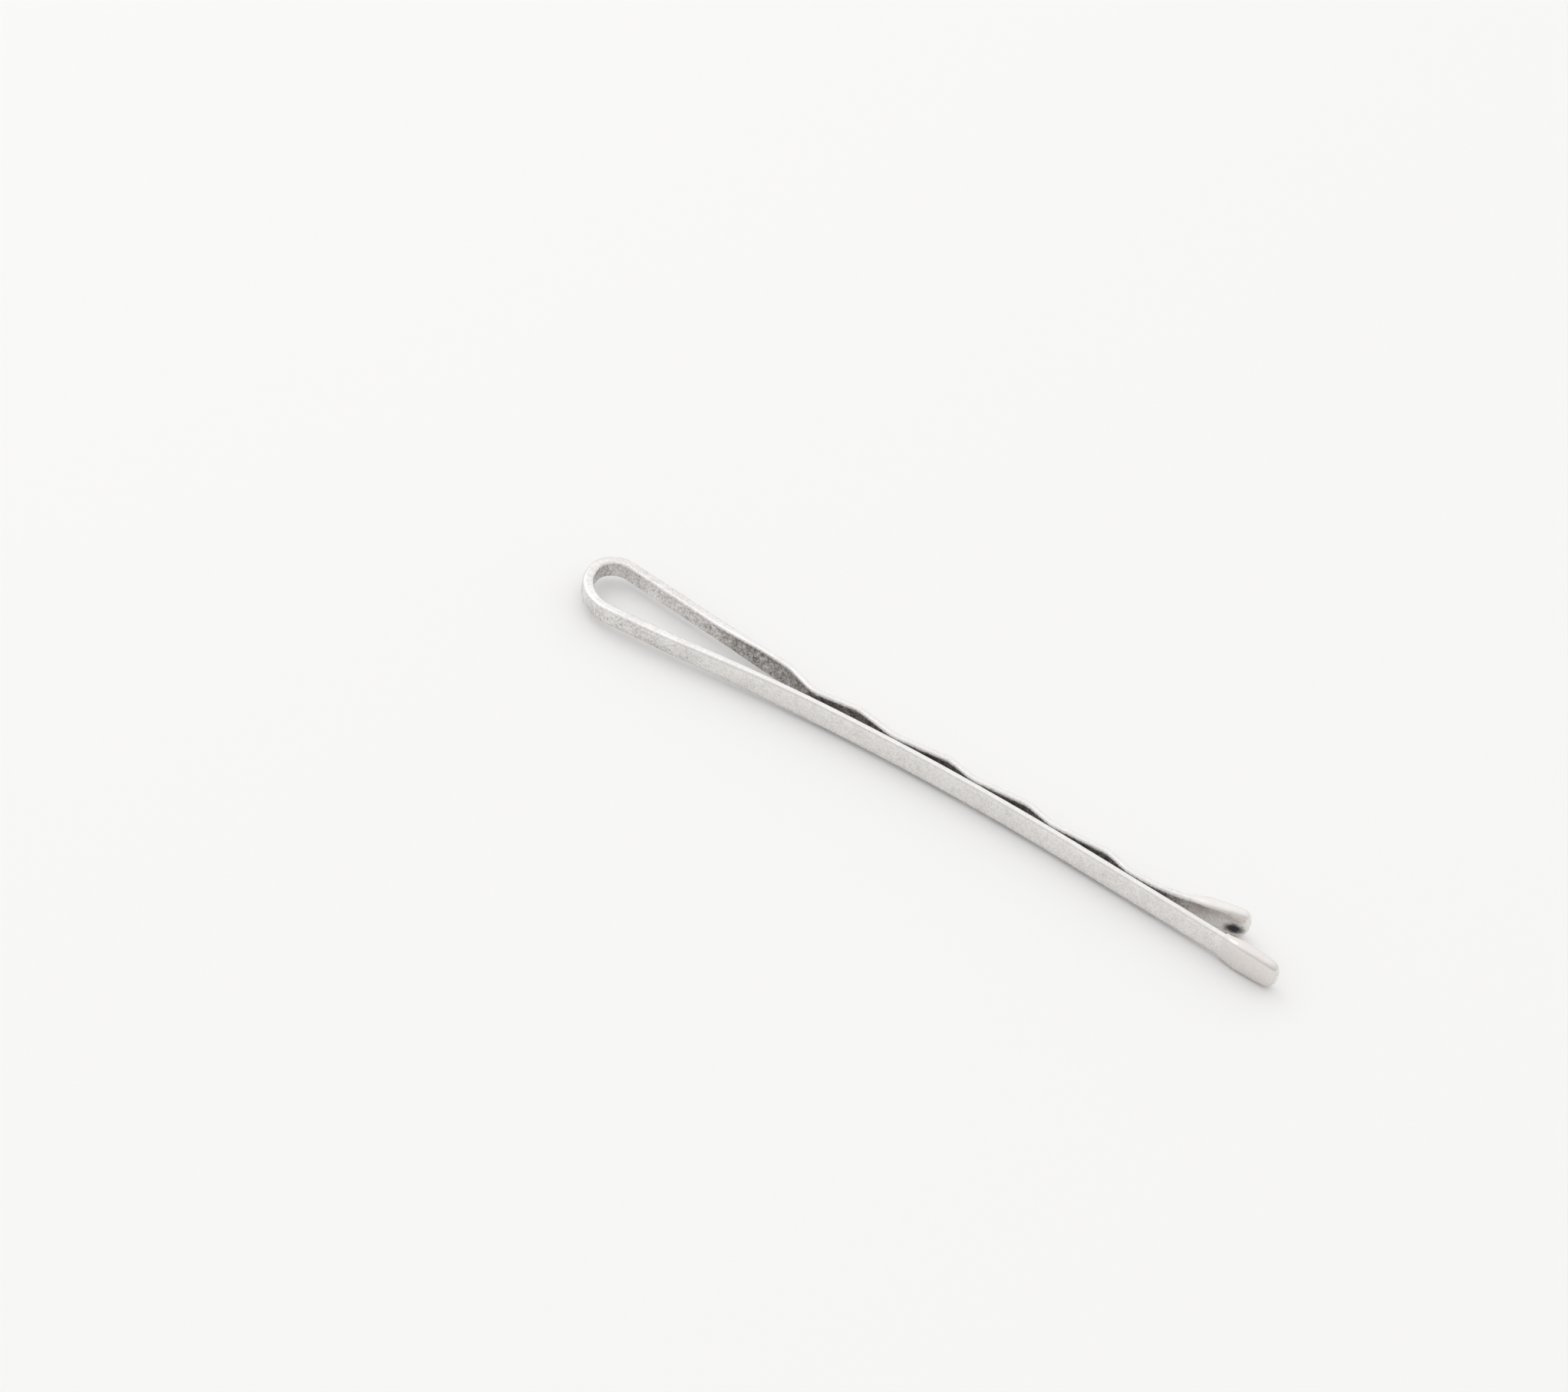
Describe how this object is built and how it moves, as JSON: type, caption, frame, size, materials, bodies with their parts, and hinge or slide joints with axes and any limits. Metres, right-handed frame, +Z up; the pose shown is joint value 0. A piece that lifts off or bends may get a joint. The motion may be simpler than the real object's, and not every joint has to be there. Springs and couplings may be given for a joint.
{
  "type": "bobby pin",
  "caption": "Closed hair pin of spring wire, rounder in the bow and flat along the legs: a teardrop bow, a straight leg, a crimped leg that springs against it, and a lacquer bead on each tip.",
  "frame": {"origin": "middle of the pin's outline on the surface that it lies on", "axes": "+X from the bow to the tips, +Y from the straight leg to the crimped leg, +Z up along the width of the wire"},
  "size_m": [0.05, 0.0048, 0.0021],
  "materials": {
    "lacquered_wire": "silver metallic lacquer, fine grain",
    "lacquer_bead": "silver metallic lacquer, dipped drop"
  },
  "bodies": {
    "straight_side": {"straight_leg": "lacquered_wire", "bow": "lacquered_wire", "straight_tip_bead": "lacquer_bead"},
    "crimped_side": {"crimped_leg": "lacquered_wire", "crimped_tip_bead": "lacquer_bead"}
  },
  "joints": [
    {"name": "leg_spread", "type": "hinge", "parent": "straight_side", "child": "crimped_side", "pos_m": [-0.02308, 0.00052, 0.00105], "axis": [0, 0, 1], "range_deg": [0, 15], "stiffness_Nm_per_rad": 0.12, "springref_deg": -2.86, "deforming": ["bow"]}
  ]
}
